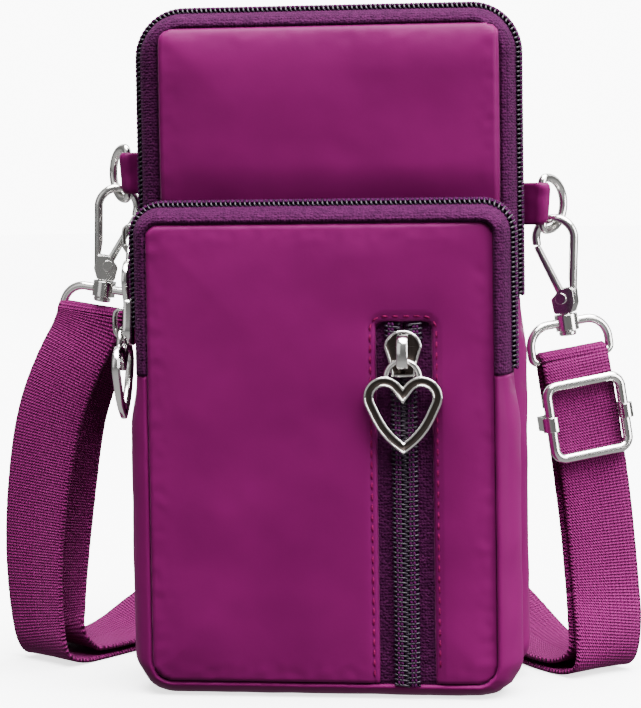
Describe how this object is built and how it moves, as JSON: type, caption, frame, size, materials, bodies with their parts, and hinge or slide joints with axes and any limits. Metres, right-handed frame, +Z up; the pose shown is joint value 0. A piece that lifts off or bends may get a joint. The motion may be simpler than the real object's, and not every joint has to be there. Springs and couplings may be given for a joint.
{
  "type": "phone pouch",
  "caption": "Upright nylon phone pouch with a short zipped compartment in front of a tall one, a zipped front pocket, heart zip pulls and a clip-on webbing strap.",
  "frame": {"origin": "middle of the bottom edge, on the surface that the pouch stands on", "axes": "+X to the right as seen from the front, +Y to the back, +Z up"},
  "size_m": [0.1811, 0.1133, 0.1851],
  "materials": {
    "nylon": "soft padded nylon with a satin sheen",
    "zip_tape": "matte twill",
    "zip_teeth": "satin coil",
    "lining": "smooth thin lining",
    "nickel": "polished nickel plate",
    "spring_steel": "plain spring steel",
    "webbing": "herringbone webbing"
  },
  "bodies": {
    "pouch": {"middle_panel": "nylon", "back_panel": "nylon", "front_panel": "nylon", "rear_gusset": "nylon", "front_gusset": "nylon", "rear_tape_front_ends": "zip_tape", "rear_tape_back": "zip_tape", "front_tape_front_ends": "zip_tape", "front_tape_back": "zip_tape", "rear_teeth_front_ends": "zip_teeth", "rear_teeth_back": "zip_teeth", "front_teeth_front_ends": "zip_teeth", "front_teeth_back": "zip_teeth", "pocket_tape_left": "zip_tape", "pocket_tape_right": "zip_tape", "pocket_teeth_left": "zip_teeth", "pocket_teeth_right": "zip_teeth", "pocket_bag": "lining", "rear_lining": "lining", "front_lining": "lining", "left_tab": "nylon", "right_tab": "nylon", "left_strap_eye": "nickel", "right_strap_eye": "nickel", "strap_outer_run": "webbing", "strap_inner_run": "webbing", "strap_left_turn": "webbing", "strap_right_fold": "webbing"},
    "rear_flap": {"rear_flap_panel": "nylon", "rear_flap_tape": "zip_tape", "rear_flap_teeth": "zip_teeth"},
    "front_flap": {"front_flap_panel": "nylon", "front_flap_tape": "zip_tape", "front_flap_teeth": "zip_teeth"},
    "pocket_slider": {"pocket_slider": "nickel"},
    "front_slider": {"front_slider": "nickel"},
    "rear_slider": {"rear_slider": "nickel"},
    "pocket_pull": {"pocket_pull": "nickel"},
    "front_pull": {"front_pull": "nickel"},
    "rear_pull": {"rear_pull": "nickel"},
    "left_ring": {"left_d_ring": "nickel"},
    "right_ring": {"right_d_ring": "nickel"},
    "left_hook": {"left_hook_body": "nickel", "left_gate_rivet": "nickel", "left_gate_spring": "spring_steel"},
    "right_hook": {"right_hook_body": "nickel", "right_gate_rivet": "nickel", "right_gate_spring": "spring_steel"},
    "left_gate": {"left_hook_gate": "nickel"},
    "right_gate": {"right_hook_gate": "nickel"},
    "adjuster": {"adjuster_frame": "nickel", "adjuster_bar": "nickel", "strap_bar_loop": "webbing"}
  },
  "joints": [
    {"name": "rear_mouth", "type": "hinge", "parent": "pouch", "child": "rear_flap", "pos_m": [0, -0.0006, 0.1343], "axis": [1, 0, 0], "range_deg": [0, 70], "deforming": ["rear_flap_teeth", "rear_teeth_back", "rear_teeth_front_ends"]},
    {"name": "front_mouth", "type": "hinge", "parent": "pouch", "child": "front_flap", "pos_m": [0, -0.02, 0.108], "axis": [1, 0, 0], "range_deg": [0, 60], "deforming": ["front_flap_teeth", "front_teeth_back", "front_teeth_front_ends"]},
    {"name": "pocket_zip", "type": "slide", "parent": "pouch", "child": "pocket_slider", "axis": [0, 0, -1], "range_m": [0, 0.064], "deforming": ["pocket_teeth_left", "pocket_teeth_right"]},
    {"name": "front_zip", "type": "slide", "parent": "pouch", "child": "front_slider", "axis": [0, 0, 1], "range_m": [0, 0.016]},
    {"name": "rear_zip", "type": "slide", "parent": "pouch", "child": "rear_slider", "axis": [0, 0, 1], "range_m": [0, 0.009]},
    {"name": "pocket_pull_swing", "type": "hinge", "parent": "pocket_slider", "child": "pocket_pull", "pos_m": [0.0224, -0.0226, 0.09025], "axis": [-1, 0, 0], "range_deg": [0, 140]},
    {"name": "front_pull_swing", "type": "hinge", "parent": "front_slider", "child": "front_pull", "pos_m": [-0.0546, -0.0097, 0.09785], "axis": [0, 1, 0], "range_deg": [0, 90]},
    {"name": "rear_pull_swing", "type": "hinge", "parent": "rear_slider", "child": "rear_pull", "pos_m": [-0.0558, 0.0097, 0.11975], "axis": [0, 1, 0], "range_deg": [0, 20]},
    {"name": "left_ring_turn", "type": "hinge", "parent": "pouch", "child": "left_ring", "pos_m": [-0.05815, 0.0174, 0.1403], "axis": [0, 0, -1], "range_deg": [-3, 3]},
    {"name": "left_hook_swivel", "type": "hinge", "parent": "pouch", "child": "left_hook", "pos_m": [-0.06594, 0.02096, 0.10928], "axis": [-0.1822, 0, -0.9833], "range_deg": [-20, 10]},
    {"name": "left_gate_swing", "type": "hinge", "parent": "left_hook", "child": "left_gate", "pos_m": [-0.06518, 0.02096, 0.11341], "axis": [0.2545, -0.9659, -0.0472], "range_deg": [0, 22], "stiffness_Nm_per_rad": 0.01, "springref_deg": -11.46},
    {"name": "right_ring_turn", "type": "hinge", "parent": "pouch", "child": "right_ring", "pos_m": [0.05815, 0.0174, 0.1304], "axis": [0, 0, 1], "range_deg": [-3, 3]},
    {"name": "right_hook_swivel", "type": "hinge", "parent": "pouch", "child": "right_hook", "pos_m": [0.06412, 0.02096, 0.09909], "axis": [-0.1132, 0, 0.9936], "range_deg": [-20, 10]},
    {"name": "right_gate_swing", "type": "hinge", "parent": "right_hook", "child": "right_gate", "pos_m": [0.06364, 0.02096, 0.10326], "axis": [0.2572, 0.9659, 0.0293], "range_deg": [0, 22], "stiffness_Nm_per_rad": 0.01, "springref_deg": -11.46},
    {"name": "adjuster_slide", "type": "slide", "parent": "pouch", "child": "adjuster", "axis": [0.1392, 0, -0.9903], "range_m": [0, 0.012], "deforming": ["strap_inner_run"]}
  ]
}
